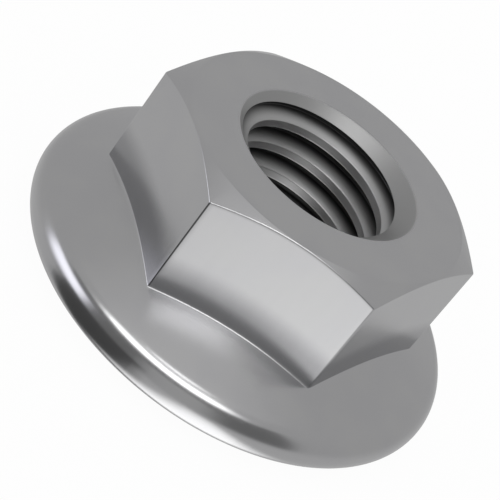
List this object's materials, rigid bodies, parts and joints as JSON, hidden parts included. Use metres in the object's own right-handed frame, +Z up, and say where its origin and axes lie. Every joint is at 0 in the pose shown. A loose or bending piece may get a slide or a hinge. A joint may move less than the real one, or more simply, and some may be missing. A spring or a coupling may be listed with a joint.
{
  "type": "serrated flange nut",
  "caption": "Hexagon nut with a round flange in one piece, a right-hand metric thread through it and locking serrations on its bearing face.",
  "frame": {"origin": "centre of the bearing face under the flange, on the thread's axis", "axes": "+Z up along the thread's axis from the bearing face to the top face; +X through a corner of the hexagon; -Y and +Y square to two opposite wrench flats"},
  "size_m": [0.0194, 0.0194, 0.008],
  "materials": {
    "steel": "satin plain steel, uncoated, smooth from cold forming"
  },
  "bodies": {
    "root": {"flange_nut": "steel"}
  },
  "joints": []
}
